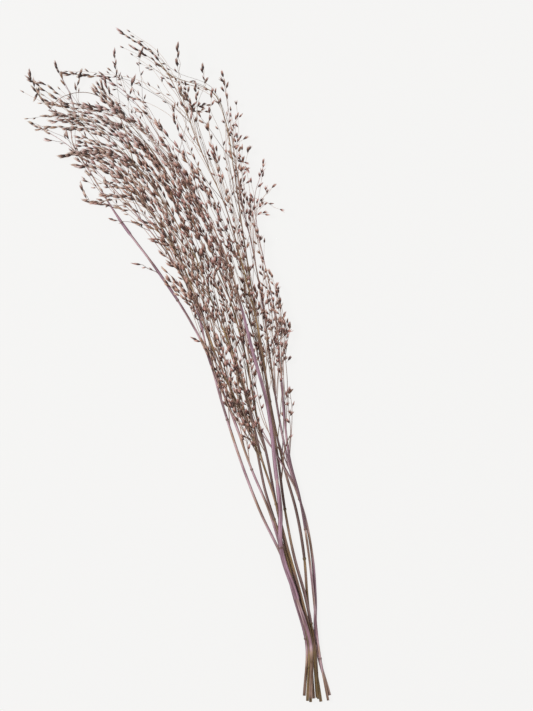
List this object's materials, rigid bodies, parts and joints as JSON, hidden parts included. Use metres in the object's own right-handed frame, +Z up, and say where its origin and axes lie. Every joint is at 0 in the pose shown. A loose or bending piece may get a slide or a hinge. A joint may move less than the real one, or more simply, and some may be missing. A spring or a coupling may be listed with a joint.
{
  "type": "bundle of dried panicum grass",
  "caption": "Bundle of dried panicum grass lying on its side: slender straw culms gathered at a waist that open into long, nodding panicles of fine branches with small pointed spikelets.",
  "frame": {"origin": "middle of the bottom of the bounding box, on the surface that the bundle lies on", "axes": "+Y along the bundle from the cut ends towards the tips, +Z up from the surface, +X to the right as seen from above with the tips away from the viewer"},
  "size_m": [0.196, 0.4216, 0.0373],
  "materials": {
    "lilac_straw": "matte dry straw with a mauve tinge, husks dark at the root and pale at the tip",
    "brown_straw": "matte dry straw, olive brown, husks dark at the root and pale at the tip"
  },
  "bodies": {
    "root": {"stem_01": "lilac_straw", "stem_02": "lilac_straw", "stem_03": "brown_straw", "stem_04": "brown_straw", "stem_05": "brown_straw", "stem_06": "lilac_straw", "stem_07": "brown_straw", "stem_08": "brown_straw", "stem_09": "lilac_straw", "stem_10": "lilac_straw"}
  },
  "joints": []
}
